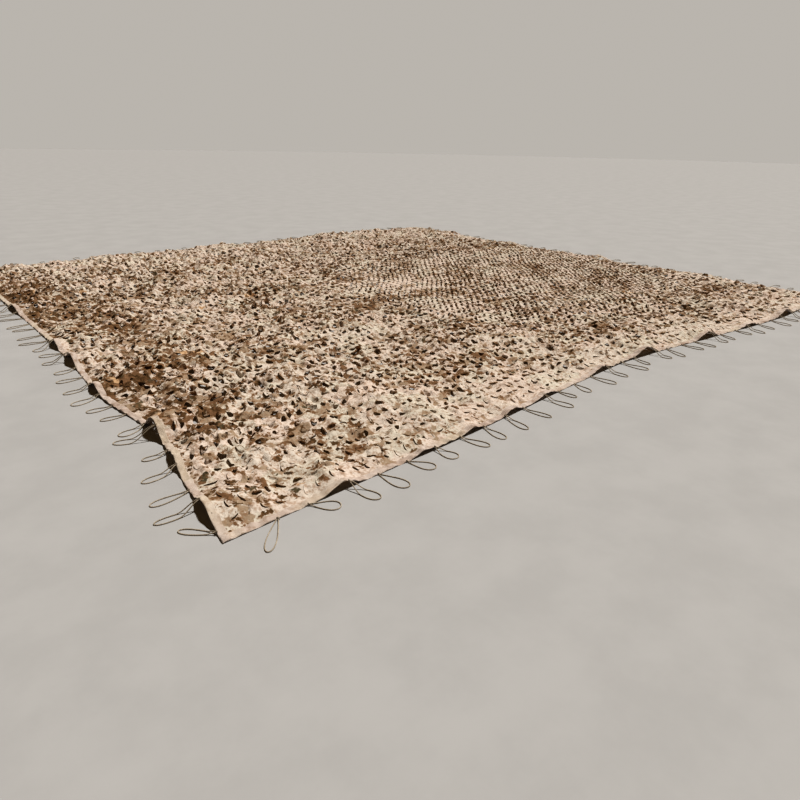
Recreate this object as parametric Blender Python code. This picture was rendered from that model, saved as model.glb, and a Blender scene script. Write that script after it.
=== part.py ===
"""Camouflage netting laid out on level ground.

One incised cloth, about 7 m by 6.5 m, bound on its four sides with a folded tape. The tape
carries short loops of cord for tying the net down or to its neighbour.

Metres, +Z up. The origin is on the ground under the middle of the net, +X runs along the front
edge and +Y towards the back edge. Plan positions in the tables are measured from the net's
front left corner, and CENTRE moves them to the origin.
"""

import math
import random
from collections import namedtuple

import bmesh
import bpy
from mathutils import Vector, noise

# ---------------------------------------------------------------- driving sizes
CENTRE = Vector((3.45, 3.24, 0.0))  # middle of the net, seen from its front left corner

CLOTH_THICKNESS = 0.003  # the incised cloth with its curled cuts
TAPE_THICKNESS = 0.001
TAPE_WIDTH = 0.056  # how far the folded tape reaches in over the cloth
TAPE_NOSE = 0.008  # solid outer fold of the tape, beyond the cloth's edge
SEAM_GAP = 0.0004  # between the tape and the cloth it wraps
CORNER_GAP = 0.0006  # between a side tape's end and the tape that laps the corner
NET_LENGTH, NET_WIDTH = 6.9, 6.5  # along X and along Y

CELLS_ALONG_X = 30
CELLS_ALONG_Y = 28
CELL_WIDENING = 0.9  # the last cell is this much wider than the first

LOOP_PITCH = 0.2
PITCH_PLAY = 0.02  # how far a loop may stand from its even place
REACH_RANGE = (0.13, 0.20)
SKEW_RANGE = (-0.05, 0.05)
WIDTH_RANGE = (0.03, 0.06)
LOOP_POINTS = 8  # around one closed loop of cord
LOOP_SIDES = 3
CORD_RADIUS = 0.0034  # to the corners of the three-sided cord, which is as thick as a round one
CORD_REST = CORD_RADIUS / 2  # the cord's middle over the ground it lies on
LEG_SPREAD = 0.006  # keeps a loop's two legs apart where they leave the tape
LEAF_WIDTH = 0.75  # of a loop's width, for a loop that is widest near its tip
FALL_LENGTH = 0.04  # how far out a loop reaches the ground,
FALL_PER_RISE = 1.3  # and how much farther for each metre that its root stands up
ROOT_DEPTH = 0.004  # how deep a loop's root sits in the outer fold
ROOT_RISE = 0.0027  # the root's middle over the fold's underside
ROOT_PINCH = 0.55  # the cord's thickness inside the fold, as a share

SWELL_RISE = 0.055  # height of the cloth's soft unevenness
SWELL_PITCH = 0.62
SWELL_BASE = 0.19  # lifts the unevenness, so that less than half of the cloth touches the ground
EDGE_SWELL = 0.25  # share of the unevenness that is left at the cloth's edge
SWELL_BORDER = 0.045  # share of the net over which it fades towards the edge
REST_RADIUS = 0.45  # flat spot under the middle of the net
FOLD_FOOT = 1.2  # power that softens the foot of a fold
FOLD_DECAY = 1.5  # power of an edge fold's fall, inwards from the edge
CREASE_SWAY = 0.06  # how far a crease swings sideways along its length
CREASE_SWAYS = 4.0  # radians of that swing for each metre
RANDOM_SEED = 11

# ---------------------------------------------------------------- tables
# How far each edge strays from the straight line, read along that edge.
EdgePoint = namedtuple("EdgePoint", "along offset")
FRONT_EDGE = [  # along X, offset in Y
    EdgePoint(-0.06, -0.07),
    EdgePoint(0.50, -0.04),
    EdgePoint(1.50, 0.01),
    EdgePoint(2.60, 0.10),
    EdgePoint(3.30, 0.13),
    EdgePoint(4.40, 0.02),
    EdgePoint(5.60, -0.09),
    EdgePoint(6.86, -0.04),
]
BACK_EDGE = [  # along X, offset in Y
    EdgePoint(0.20, 6.49),
    EdgePoint(2.00, 6.55),
    EdgePoint(3.60, 6.49),
    EdgePoint(5.20, 6.56),
    EdgePoint(6.98, 6.52),
]
LEFT_EDGE = [  # along Y, offset in X
    EdgePoint(-0.07, -0.06),
    EdgePoint(0.42, 0.01),
    EdgePoint(1.05, 0.11),
    EdgePoint(1.74, 0.06),
    EdgePoint(2.58, 0.11),
    EdgePoint(3.66, 0.13),
    EdgePoint(5.10, 0.13),
    EdgePoint(6.49, 0.20),
]
RIGHT_EDGE = [  # along Y, offset in X
    EdgePoint(-0.04, 6.86),
    EdgePoint(2.10, 6.84),
    EdgePoint(3.30, 6.87),
    EdgePoint(4.50, 6.83),
    EdgePoint(6.52, 6.98),
]

# Places where an edge stands off the ground: the fold there is a half wave that runs inwards.
EdgeFold = namedtuple("EdgeFold", "side at half_width rise reach")
EDGE_FOLDS = [
    EdgeFold("front", 0.54, 0.15, 0.040, 0.45),
    EdgeFold("front", 1.08, 0.13, 0.020, 0.35),
    EdgeFold("front", 1.46, 0.12, 0.022, 0.30),
    EdgeFold("front", 1.82, 0.14, 0.032, 0.40),
    EdgeFold("front", 2.20, 0.16, 0.028, 0.35),
    EdgeFold("front", 2.88, 0.20, 0.034, 0.45),
    EdgeFold("front", 3.48, 0.18, 0.055, 0.40),
    EdgeFold("front", 4.30, 0.20, 0.055, 0.50),
    EdgeFold("front", 4.95, 0.20, 0.030, 0.40),
    EdgeFold("front", 5.62, 0.20, 0.055, 0.45),
    EdgeFold("left", 0.16, 0.22, 0.050, 0.35),
    EdgeFold("left", 0.68, 0.17, 0.042, 0.35),
    EdgeFold("left", 1.06, 0.17, 0.095, 0.70),
    EdgeFold("left", 1.88, 0.18, 0.050, 0.40),
    EdgeFold("left", 2.52, 0.22, 0.070, 0.55),
    EdgeFold("left", 2.98, 0.18, 0.050, 0.35),
    EdgeFold("left", 4.30, 0.25, 0.040, 0.40),
    EdgeFold("back", 1.60, 0.26, 0.025, 0.45),
    EdgeFold("back", 3.10, 0.26, 0.030, 0.50),
    EdgeFold("back", 4.95, 0.28, 0.040, 0.45),
    EdgeFold("back", 5.90, 0.28, 0.025, 0.45),
    EdgeFold("right", 1.20, 0.24, 0.025, 0.45),
    EdgeFold("right", 2.70, 0.26, 0.050, 0.50),
    EdgeFold("right", 4.20, 0.28, 0.040, 0.45),
    EdgeFold("right", 5.50, 0.28, 0.045, 0.40),
]

# Long soft creases across the cloth; the angle is measured from +X.
Crease = namedtuple("Crease", "x y angle_deg half_length half_width rise")
CREASES = [
    Crease(0.95, 1.35, 28, 1.10, 0.17, 0.035),
    Crease(2.60, 1.10, -12, 0.90, 0.16, 0.026),
    Crease(1.90, 3.10, 35, 1.20, 0.20, 0.030),
    Crease(4.40, 1.90, 62, 1.10, 0.18, 0.030),
    Crease(5.60, 3.40, 20, 1.20, 0.22, 0.032),
    Crease(1.60, 5.20, -35, 1.10, 0.22, 0.032),
    Crease(4.60, 5.40, 10, 1.40, 0.24, 0.034),
]

# The first loops at the front left corner, as they lie; skew is the tip's shift along the edge.
Loop = namedtuple("Loop", "at reach skew width")
FIRST_LOOPS = {
    "front": [
        Loop(0.25, 0.17, -0.16, 0.030),
        Loop(0.41, 0.10, 0.10, 0.060),
        Loop(0.64, 0.17, 0.04, 0.050),
        Loop(0.82, 0.18, 0.03, 0.060),
        Loop(1.01, 0.14, 0.06, 0.060),
        Loop(1.21, 0.14, 0.02, 0.060),
    ],
    "left": [
        Loop(0.01, 0.13, 0.10, 0.026),
        Loop(0.24, 0.20, -0.02, 0.028),
        Loop(0.41, 0.18, -0.04, 0.036),
        Loop(0.64, 0.17, -0.05, 0.034),
        Loop(0.84, 0.13, -0.02, 0.030),
        Loop(1.06, 0.21, 0.06, 0.045),
    ],
}

Look = namedtuple("Look", "colour roughness")
LOOKS = {
    "camouflage_cloth": Look((0.62, 0.49, 0.33, 1.0), 0.9),
    "beige_tape": Look((0.60, 0.49, 0.40, 1.0), 0.9),
}


# ---------------------------------------------------------------- plan and height of the cloth
def read_edge(table, along):
    """The offset at a place on an edge, on a smooth curve through the table's rows."""
    last = len(table) - 1
    row = 0
    while row < last - 1 and along > table[row + 1].along:
        row += 1
    before, start = table[max(row - 1, 0)], table[row]
    end, after = table[row + 1], table[min(row + 2, last)]
    span = end.along - start.along
    slope_in = (end.offset - before.offset) / (end.along - before.along)
    slope_out = (after.offset - start.offset) / (after.along - start.along)
    t = (along - start.along) / span
    return (
        start.offset * (1 + 2 * t) * (1 - t) ** 2
        + end.offset * t * t * (3 - 2 * t)
        + slope_in * span * t * (1 - t) ** 2
        - slope_out * span * t * t * (1 - t)
    )


def along_edge(table, share):
    return table[0].along + share * (table[-1].along - table[0].along)


def edge_point(side, share):
    """A point on one edge of the cloth, at a share of that edge's length."""
    table = {"front": FRONT_EDGE, "back": BACK_EDGE, "left": LEFT_EDGE, "right": RIGHT_EDGE}[side]
    along = along_edge(table, share)
    offset = read_edge(table, along)
    return Vector((along, offset)) if side in ("front", "back") else Vector((offset, along))


def plan_point(u, v):
    """The cloth's rectangle, stretched between its four uneven edges."""
    corners = (
        (1 - u) * (1 - v) * edge_point("front", 0)
        + u * (1 - v) * edge_point("front", 1)
        + (1 - u) * v * edge_point("back", 0)
        + u * v * edge_point("back", 1)
    )
    return (
        (1 - v) * edge_point("front", u)
        + v * edge_point("back", u)
        + (1 - u) * edge_point("left", v)
        + u * edge_point("right", v)
        - corners
    )


def half_wave(distance, half_width):
    """1 in the middle of a fold and 0 from its half width on, with a soft foot."""
    if abs(distance) >= half_width:
        return 0.0
    return (0.5 + 0.5 * math.cos(math.pi * distance / half_width)) ** FOLD_FOOT


def fold_height(fold, u, v):
    """An edge fold stands highest at the edge and dies away over its reach."""
    point = plan_point(u, v)
    inwards = {"front": v, "back": 1 - v, "left": u, "right": 1 - u}[fold.side]
    across_size = NET_WIDTH if fold.side in ("front", "back") else NET_LENGTH
    along = point.x if fold.side in ("front", "back") else point.y
    depth = inwards * across_size
    if depth >= fold.reach:
        return 0.0
    fall = (1 - depth / fold.reach) ** FOLD_DECAY
    return fold.rise * half_wave(along - fold.at, fold.half_width) * fall


def crease_height(crease, point):
    angle = math.radians(crease.angle_deg)
    dx, dy = point.x - crease.x, point.y - crease.y
    along = dx * math.cos(angle) + dy * math.sin(angle)
    across = dy * math.cos(angle) - dx * math.sin(angle)
    across += CREASE_SWAY * math.sin(CREASE_SWAYS * along)
    return (
        crease.rise
        * half_wave(along, crease.half_length)
        * half_wave(across, crease.half_width)
    )


def ground_clearance(u, v):
    """How high the cloth's underside stands over the ground: never below it, often on it."""
    point = plan_point(u, v)
    swell = noise.noise(Vector((point.x / SWELL_PITCH, point.y / SWELL_PITCH, 0.5)))
    border = min(u, 1 - u, v, 1 - v)
    swell_share = EDGE_SWELL + (1 - EDGE_SWELL) * min(1.0, border / SWELL_BORDER)
    height = SWELL_RISE * swell_share * max(0.0, swell + SWELL_BASE)
    height += sum(crease_height(crease, point) for crease in CREASES)
    from_middle = math.hypot(point.x - CENTRE.x, point.y - CENTRE.y)
    height *= min(1.0, max(0.0, from_middle / REST_RADIUS - 1.0))
    return height + max(fold_height(fold, u, v) for fold in EDGE_FOLDS)


def grid_lines(size, cells):
    """Shares of the size where the grid's lines run: one tape's width in from each edge, and
    between them cells that widen evenly from the near side to the far side."""
    tape_share = TAPE_WIDTH / size
    widths = [1.0 + CELL_WIDENING * cell / (cells - 1) for cell in range(cells)]
    unit = (1.0 - 2 * tape_share) / sum(widths)
    lines = [0.0, tape_share]
    for width in widths:
        lines.append(lines[-1] + width * unit)
    lines[-1] = 1.0 - tape_share
    return lines + [1.0]


# ---------------------------------------------------------------- building blocks
def make_material(name):
    look = LOOKS[name]
    material = bpy.data.materials.new(name)
    material.use_nodes = True
    shader = material.node_tree.nodes["Principled BSDF"]
    shader.inputs["Base Color"].default_value = look.colour
    shader.inputs["Roughness"].default_value = look.roughness
    shader.inputs["Metallic"].default_value = 0.0
    return material


def face_outwards(bm):
    bmesh.ops.recalc_face_normals(bm, faces=bm.faces[:])
    if bm.calc_volume(signed=True) < 0:
        bmesh.ops.reverse_faces(bm, faces=bm.faces[:])


def add_object(name, mesh_builder, material, collection):
    mesh = bpy.data.meshes.new(name)
    mesh_builder.to_mesh(mesh)
    mesh_builder.free()
    mesh.materials.append(material)
    thing = bpy.data.objects.new(name, mesh)
    collection.objects.link(thing)
    return thing


class Cloth:
    """The cloth's grid: plan position and ground clearance of every crossing."""

    def __init__(self):
        self.u_lines = grid_lines(NET_LENGTH, CELLS_ALONG_X)
        self.v_lines = grid_lines(NET_WIDTH, CELLS_ALONG_Y)
        self.last_i, self.last_j = len(self.u_lines) - 1, len(self.v_lines) - 1
        self.points = {}
        for i, u in enumerate(self.u_lines):
            for j, v in enumerate(self.v_lines):
                place = plan_point(u, v)
                self.points[i, j] = Vector((place.x, place.y, ground_clearance(u, v))) - CENTRE

    def under_tape(self, i, j):
        return min(i, j, self.last_i - i, self.last_j - j) <= 1

    def rising(self, i, j):
        """Whether a cell is cut from its low corner to its high corner: cuts point at the net's
        corners, and cloth and tape share them, so the two never cross."""
        return (2 * i < self.last_i) == (2 * j < self.last_j)


# ---------------------------------------------------------------- sub-parts
def build_net(cloth, material, collection):
    """A grid moved onto the cloth's shape, then thickened straight up into a closed sheet."""
    bm = bmesh.new()
    bmesh.ops.create_grid(bm, x_segments=cloth.last_i, y_segments=cloth.last_j, size=1.0)
    place_of = {}
    for vert in bm.verts:
        i = round((vert.co.x + 1) / 2 * cloth.last_i)
        j = round((vert.co.y + 1) / 2 * cloth.last_j)
        place_of[vert] = (i, j)
        raised = TAPE_THICKNESS + SEAM_GAP if cloth.under_tape(i, j) else 0.0
        vert.co = cloth.points[i, j] + Vector((0, 0, raised))
    for face in list(bm.faces):
        corners = sorted(face.verts, key=lambda vert: place_of[vert])
        low_left, high_left, low_right, high_right = corners
        rising = cloth.rising(*place_of[low_left])
        cut = (low_left, high_right) if rising else (high_left, low_right)
        bmesh.utils.face_split(face, *cut)
    top = bmesh.ops.extrude_face_region(bm, geom=bm.faces[:])["geom"]
    top_verts = [item for item in top if isinstance(item, bmesh.types.BMVert)]
    bmesh.ops.translate(bm, verts=top_verts, vec=(0, 0, CLOTH_THICKNESS))
    face_outwards(bm)
    return add_object("net", bm, material, collection)


# How a tape's end is closed, by the order of the section's points.
LOWER_FLAP_END = ((1, 2, 3), (1, 3, 4))
NOSE_END = ((0, 1, 4), (0, 4, 5), (0, 5, 9), (9, 5, 8))
UPPER_FLAP_END = ((5, 6, 7), (5, 7, 8))
END_TRIANGLES = LOWER_FLAP_END + NOSE_END + UPPER_FLAP_END


class Tape:
    """The folded tape on one side: its stations, and where loops leave its outer fold."""

    def __init__(self, cloth, side):
        self.side = side
        self.cells = []  # the cloth's cell between each station and the next
        self.outer, self.seam, self.inner = [], [], []
        if side in ("front", "back"):
            edge, within, cell_row = {
                "front": (0, 1, 0),
                "back": (cloth.last_j, cloth.last_j - 1, cloth.last_j - 1),
            }[side]
            pairs = [((k, edge), (k, within)) for k in range(cloth.last_i + 1)]
            self.cells = [(k, cell_row) for k in range(cloth.last_i)]
        else:
            edge, within, cell_column = {
                "left": (0, 1, 0),
                "right": (cloth.last_i, cloth.last_i - 1, cloth.last_i - 1),
            }[side]
            pairs = [((edge, k), (within, k)) for k in range(1, cloth.last_j)]
            self.cells = [(cell_column, k) for k in range(1, cloth.last_j - 1)]
        edges = [cloth.points[at_edge] for at_edge, _ in pairs]
        inners = [cloth.points[inside] for _, inside in pairs]
        if side in ("left", "right"):
            self.shorten(edges)
            self.shorten(inners)
        for k, (at_edge, inside) in enumerate(zip(edges, inners)):
            run = edges[min(k + 1, len(edges) - 1)] - edges[max(k - 1, 0)]
            outwards = Vector((run.y, -run.x, 0)).normalized()
            if outwards.dot(at_edge - inside) < 0:
                outwards.negate()
            self.seam.append(at_edge + SEAM_GAP * outwards)
            self.outer.append(at_edge + TAPE_NOSE * outwards)
            self.inner.append(inside)
        self.outer_first = [
            cloth.rising(*cell) == (side in ("front", "left")) for cell in self.cells
        ]

    @staticmethod
    def shorten(points):
        """The side tapes stop just short of the front and back tapes that lap the corners."""
        points[0] = points[0] + (points[1] - points[0]).normalized() * CORNER_GAP
        points[-1] = points[-1] + (points[-2] - points[-1]).normalized() * CORNER_GAP

    def section(self, k):
        """The tape's C-shaped section at one station, and which of its points are inner ones."""
        outer, seam, inner = self.outer[k], self.seam[k], self.inner[k]
        over = TAPE_THICKNESS + 2 * SEAM_GAP + CLOTH_THICKNESS
        heights_and_places = [
            (outer, 0.0, False),
            (seam, 0.0, False),
            (inner, 0.0, True),
            (inner, TAPE_THICKNESS, True),
            (seam, TAPE_THICKNESS, False),
            (seam, over, False),
            (inner, over, True),
            (inner, over + TAPE_THICKNESS, True),
            (seam, over + TAPE_THICKNESS, False),
            (outer, over + TAPE_THICKNESS, False),
        ]
        points = [place + Vector((0, 0, height)) for place, height, _ in heights_and_places]
        return points, [inside for _, _, inside in heights_and_places]

    def length(self):
        return sum((b - a).length for a, b in zip(self.outer, self.outer[1:]))

    def root(self, distance):
        """The point on the outer fold's lower edge at a distance along it, and the directions
        along the fold and out from it."""
        for start, end in zip(self.outer, self.outer[1:]):
            step = (end - start).length
            if distance <= step:
                break
            distance -= step
        along = Vector((end.x - start.x, end.y - start.y, 0)).normalized()
        outwards = Vector((along.y, -along.x, 0))
        if self.side in ("back", "left"):
            outwards.negate()
        return start + (end - start) * (distance / step), along, outwards


def loft_between(bm, ring, following, inner_flags, outer_first):
    """Triangles between two sections; the cut across each flap matches the cloth's own."""
    count = len(ring)
    for side in range(count):
        other = (side + 1) % count
        a, b, c, d = ring[side], ring[other], following[other], following[side]
        if inner_flags[side] != outer_first:
            triangles = ((a, b, c), (a, c, d))
        else:
            triangles = ((a, b, d), (b, c, d))
        for triangle in triangles:
            bm.faces.new(triangle)


def build_tape(tape, material, collection):
    bm = bmesh.new()
    rings = []
    for k in range(len(tape.outer)):
        points, inner_flags = tape.section(k)
        rings.append([bm.verts.new(point) for point in points])
    for k, outer_first in enumerate(tape.outer_first):
        loft_between(bm, rings[k], rings[k + 1], inner_flags, outer_first)
    for ring in (rings[0], rings[-1]):
        for triangle in END_TRIANGLES:
            bm.faces.new([ring[corner] for corner in triangle])
    face_outwards(bm)
    return add_object(f"binding_{tape.side}", bm, material, collection)


def loops_of(tape, chance):
    """The loops along one tape: the first ones as listed, then evenly uneven ones."""
    loops = list(FIRST_LOOPS.get(tape.side, []))
    at = loops[-1].at + LOOP_PITCH if loops else LOOP_PITCH / 2
    while at < tape.length() - LOOP_PITCH / 2:
        shifted = at + chance.uniform(-PITCH_PLAY, PITCH_PLAY)
        reach, skew = chance.uniform(*REACH_RANGE), chance.uniform(*SKEW_RANGE)
        loops.append(Loop(shifted, reach, skew, chance.uniform(*WIDTH_RANGE)))
        at += LOOP_PITCH
    return loops


def loop_path(tape, loop):
    """Centres of one closed loop of cord: out of the fold, down to the ground and back."""
    root, along, outwards = tape.root(loop.at)
    start = root - ROOT_DEPTH * outwards + Vector((0, 0, ROOT_RISE))
    axis = outwards * loop.reach + along * loop.skew
    sideways = Vector((-axis.y, axis.x, 0)).normalized()
    fall = FALL_LENGTH + FALL_PER_RISE * start.z
    centres = []
    for step in range(LOOP_POINTS):
        turn = 2 * math.pi * step / LOOP_POINTS
        share = (1 - math.cos(turn)) / 2
        leaf = LEAF_WIDTH * loop.width * math.sin(turn / 2) ** 2
        spread = math.sin(turn) * (leaf + LEG_SPREAD)
        centre = start + axis * share + sideways * spread
        hang = 0.5 + 0.5 * math.cos(math.pi * min(1.0, share * axis.length / fall))
        centre.z = CORD_REST + (start.z - CORD_REST) * hang
        centres.append(centre)
    return centres


def add_loop(bm, centres):
    """A closed three-sided cord around its centres, flat side down."""
    rings = []
    for step, centre in enumerate(centres):
        tangent = (centres[(step + 1) % len(centres)] - centres[step - 1]).normalized()
        sideways = tangent.cross(Vector((0, 0, 1))).normalized()
        upwards = sideways.cross(tangent)
        radius = CORD_RADIUS * (ROOT_PINCH if step == 0 else 1.0)
        corners = []
        for corner in range(LOOP_SIDES):
            angle = math.pi / 2 + 2 * math.pi * corner / LOOP_SIDES
            point = centre + radius * (math.cos(angle) * sideways + math.sin(angle) * upwards)
            point.z = max(0.0, point.z)
            corners.append(bm.verts.new(point))
        rings.append(corners)
    for step, ring in enumerate(rings):
        following = rings[(step + 1) % len(rings)]
        for side in range(LOOP_SIDES):
            other = (side + 1) % LOOP_SIDES
            bm.faces.new((ring[side], ring[other], following[other], following[side]))


def build_loops(tape, chance, material, cutters):
    """All the loops of one tape, as closed bodies that are then joined to it."""
    bm = bmesh.new()
    for loop in loops_of(tape, chance):
        add_loop(bm, loop_path(tape, loop))
    bmesh.ops.triangulate(bm, faces=bm.faces[:])
    face_outwards(bm)
    loops = add_object(f"loops_{tape.side}", bm, material, cutters)
    loops.hide_render = True
    loops.display_type = "WIRE"
    return loops


def join_loops(tape_object, loops_object):
    joined = tape_object.modifiers.new("loops", "BOOLEAN")
    joined.operation = "UNION"
    joined.solver = "EXACT"
    joined.object = loops_object


def main():
    for thing in list(bpy.data.objects):
        bpy.data.objects.remove(thing, do_unlink=True)
    netting = bpy.data.collections.new("camouflage_netting")
    cutters = bpy.data.collections.new("joined_shapes")
    for collection in (netting, cutters):
        bpy.context.scene.collection.children.link(collection)
    cloth_material, tape_material = make_material("camouflage_cloth"), make_material("beige_tape")
    cloth = Cloth()
    build_net(cloth, cloth_material, netting)
    chance = random.Random(RANDOM_SEED)
    for side in ("front", "right", "back", "left"):
        tape = Tape(cloth, side)
        tape_object = build_tape(tape, tape_material, netting)
        join_loops(tape_object, build_loops(tape, chance, tape_material, cutters))


main()
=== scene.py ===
"""Camouflage netting laid out on level ground: the detailed cloth, binding tape and tie loops.

Metres, +Z up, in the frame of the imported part. Plan positions are measured from the net's front
left corner, and CENTRE moves them to the frame's origin. The tables and the functions of the
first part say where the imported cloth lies, and every visible piece follows them.
"""

import math
import random
from collections import namedtuple

import bpy
import numpy as np
from mathutils import Matrix, Vector, noise


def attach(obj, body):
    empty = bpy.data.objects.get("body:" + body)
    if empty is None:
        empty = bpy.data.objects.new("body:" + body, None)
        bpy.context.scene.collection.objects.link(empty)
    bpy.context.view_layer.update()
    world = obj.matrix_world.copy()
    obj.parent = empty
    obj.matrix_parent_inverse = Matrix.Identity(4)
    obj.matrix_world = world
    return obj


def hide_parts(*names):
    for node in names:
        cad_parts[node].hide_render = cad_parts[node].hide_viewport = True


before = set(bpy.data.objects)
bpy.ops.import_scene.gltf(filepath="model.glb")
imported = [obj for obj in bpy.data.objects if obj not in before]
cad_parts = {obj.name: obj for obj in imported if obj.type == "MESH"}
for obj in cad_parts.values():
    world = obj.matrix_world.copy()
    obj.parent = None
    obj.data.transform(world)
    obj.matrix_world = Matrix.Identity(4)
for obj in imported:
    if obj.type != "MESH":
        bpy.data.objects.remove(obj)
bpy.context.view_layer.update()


def table(kind, *rows):
    """Rows as named tuples of one kind."""
    return [kind(*row) for row in rows]


# -------- sizes shared with the solids
CENTRE = np.array((3.45, 3.24, 0.0))  # the net's middle
NET_LENGTH, NET_WIDTH = 6.9, 6.5
TAPE_WIDTH = 0.056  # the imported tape, in from the cloth's edge
TAPE_NOSE = 0.008  # and its fold, out from there
CORNER_GAP = 0.0006  # between two tapes

CELLS_ALONG_X, CELLS_ALONG_Y = 30, 28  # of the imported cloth's grid
CELL_WIDENING = 0.9

LOOP_PITCH = 0.2
PITCH_PLAY = 0.02  # the most that a loop is shifted along the tape
REACH_RANGE, SKEW_RANGE, WIDTH_RANGE = (0.13, 0.20), (-0.05, 0.05), (0.03, 0.06)
SPREAD_SHARE = 0.75  # of a loop's width, to either side
FALL_LENGTH = 0.04  # how far out a loop reaches the ground,
FALL_PER_RISE = 1.3  # and how much farther for each metre of its root's height
LOOP_SEED = 11

SWELL_RISE = 0.055  # of the cloth's soft swells
SWELL_PITCH, SWELL_LAYER = 0.62, 0.5
SWELL_BASE = 0.19  # lifts more of the cloth off the ground
EDGE_SWELL = 0.25  # share of them left at the edge
SWELL_BORDER = 0.045  # and over what share of the net they fade
REST_RADIUS = 0.45  # of the flat spot under the net's middle
FOLD_FOOT = 1.2  # power that narrows a fold's crest
FOLD_DECAY = 1.5  # power by which it dies away inwards
CREASE_SWAY = 0.06
CREASE_SWAYS = 4.0  # radians for each metre along a crease

# The cloth's uneven outline: Y along the front and the back, X along the two sides.
EdgePoint = namedtuple("EdgePoint", "along offset")
FRONT_EDGE = table(
    EdgePoint,
    (-0.06, -0.07), (0.50, -0.04), (1.50, 0.01), (2.60, 0.10),
    (3.30, 0.13), (4.40, 0.02), (5.60, -0.09), (6.86, -0.04),
)
BACK_EDGE = table(
    EdgePoint, (0.20, 6.49), (2.00, 6.55), (3.60, 6.49), (5.20, 6.56), (6.98, 6.52)
)
LEFT_EDGE = table(
    EdgePoint,
    (-0.07, -0.06), (0.42, 0.01), (1.05, 0.11), (1.74, 0.06),
    (2.58, 0.11), (3.66, 0.13), (5.10, 0.13), (6.49, 0.20),
)
RIGHT_EDGE = table(
    EdgePoint, (-0.04, 6.86), (2.10, 6.84), (3.30, 6.87), (4.50, 6.83), (6.52, 6.98)
)
EDGES = {"front": FRONT_EDGE, "back": BACK_EDGE, "left": LEFT_EDGE, "right": RIGHT_EDGE}

# Folds that lift the cloth's edge.
EdgeFold = namedtuple("EdgeFold", "side at half_width rise reach")
EDGE_FOLDS = [
    EdgeFold(side, *row)
    for side, rows in {
        "front": (
            (0.54, 0.15, 0.040, 0.45), (1.08, 0.13, 0.020, 0.35), (1.46, 0.12, 0.022, 0.30),
            (1.82, 0.14, 0.032, 0.40), (2.20, 0.16, 0.028, 0.35), (2.88, 0.20, 0.034, 0.45),
            (3.48, 0.18, 0.055, 0.40), (4.30, 0.20, 0.055, 0.50), (4.95, 0.20, 0.030, 0.40),
            (5.62, 0.20, 0.055, 0.45),
        ),
        "left": (
            (0.16, 0.22, 0.050, 0.35), (0.68, 0.17, 0.042, 0.35), (1.06, 0.17, 0.095, 0.70),
            (1.88, 0.18, 0.050, 0.40), (2.52, 0.22, 0.070, 0.55), (2.98, 0.18, 0.050, 0.35),
            (4.30, 0.25, 0.040, 0.40),
        ),
        "back": (
            (1.60, 0.26, 0.025, 0.45), (3.10, 0.26, 0.030, 0.50), (4.95, 0.28, 0.040, 0.45),
            (5.90, 0.28, 0.025, 0.45),
        ),
        "right": (
            (1.20, 0.24, 0.025, 0.45), (2.70, 0.26, 0.050, 0.50), (4.20, 0.28, 0.040, 0.45),
            (5.50, 0.28, 0.045, 0.40),
        ),
    }.items()
    for row in rows
]

# Long low creases inside the net.
Crease = namedtuple("Crease", "x y angle_deg half_length half_width rise")
CREASES = table(
    Crease,
    (0.95, 1.35, 28, 1.10, 0.17, 0.035),
    (2.60, 1.10, -12, 0.90, 0.16, 0.026),
    (1.90, 3.10, 35, 1.20, 0.20, 0.030),
    (4.40, 1.90, 62, 1.10, 0.18, 0.030),
    (5.60, 3.40, 20, 1.20, 0.22, 0.032),
    (1.60, 5.20, -35, 1.10, 0.22, 0.032),
    (4.60, 5.40, 10, 1.40, 0.24, 0.034),
)

# The loops at the near corner. All others are drawn at random.
Loop = namedtuple("Loop", "at reach skew width")
FIRST_LOOPS = {
    "front": table(
        Loop,
        (0.25, 0.17, -0.16, 0.030), (0.41, 0.10, 0.10, 0.060), (0.64, 0.17, 0.04, 0.050),
        (0.82, 0.18, 0.03, 0.060), (1.01, 0.14, 0.06, 0.060), (1.21, 0.14, 0.02, 0.060),
    ),
    "left": table(
        Loop,
        (0.01, 0.13, 0.10, 0.026), (0.24, 0.20, -0.02, 0.028), (0.41, 0.18, -0.04, 0.036),
        (0.64, 0.17, -0.05, 0.034), (0.84, 0.13, -0.02, 0.030), (1.06, 0.21, 0.06, 0.045),
    ),
}

# -------- sizes of the visible detail
CUT_PITCH = (0.070, 0.084)  # from cut to cut along x and along y
FIELD_DEPTH = 0.046  # how far in from the edge the cuts begin, just inside the tape
HIDDEN_DEPTH = 0.024  # how far in from the edge the cloth begins, inside the folded tape
SEEN_TAPE = 0.031  # how far in the visible tape covers the cloth
PANELS = 5
CLOTH_SEAT = 0.003  # the cloth's middle over the tape's underside
LIFT = 0.013  # how much the curled cloth stands up off the ground
LIFT_REACH = 0.09  # how far inside the tape it is quite free to
ARCH_RISE = 0.0060  # of the cloth between its cuts
CRUMPLE = 0.0036  # how far points are pushed up and down at random,
CALMER = 0.75  # and what share of it the even rows take away
BEND_HEIGHT, TOP_HEIGHT = 0.084, 0.102  # heights over the first flatten out below the second
LEAST_HEIGHT = 0.0012  # of the cloth over the ground
DETAIL_SEED = 5

WAVE_SHIFT = 1.7  # radians from one wave of a sum to the next


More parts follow.
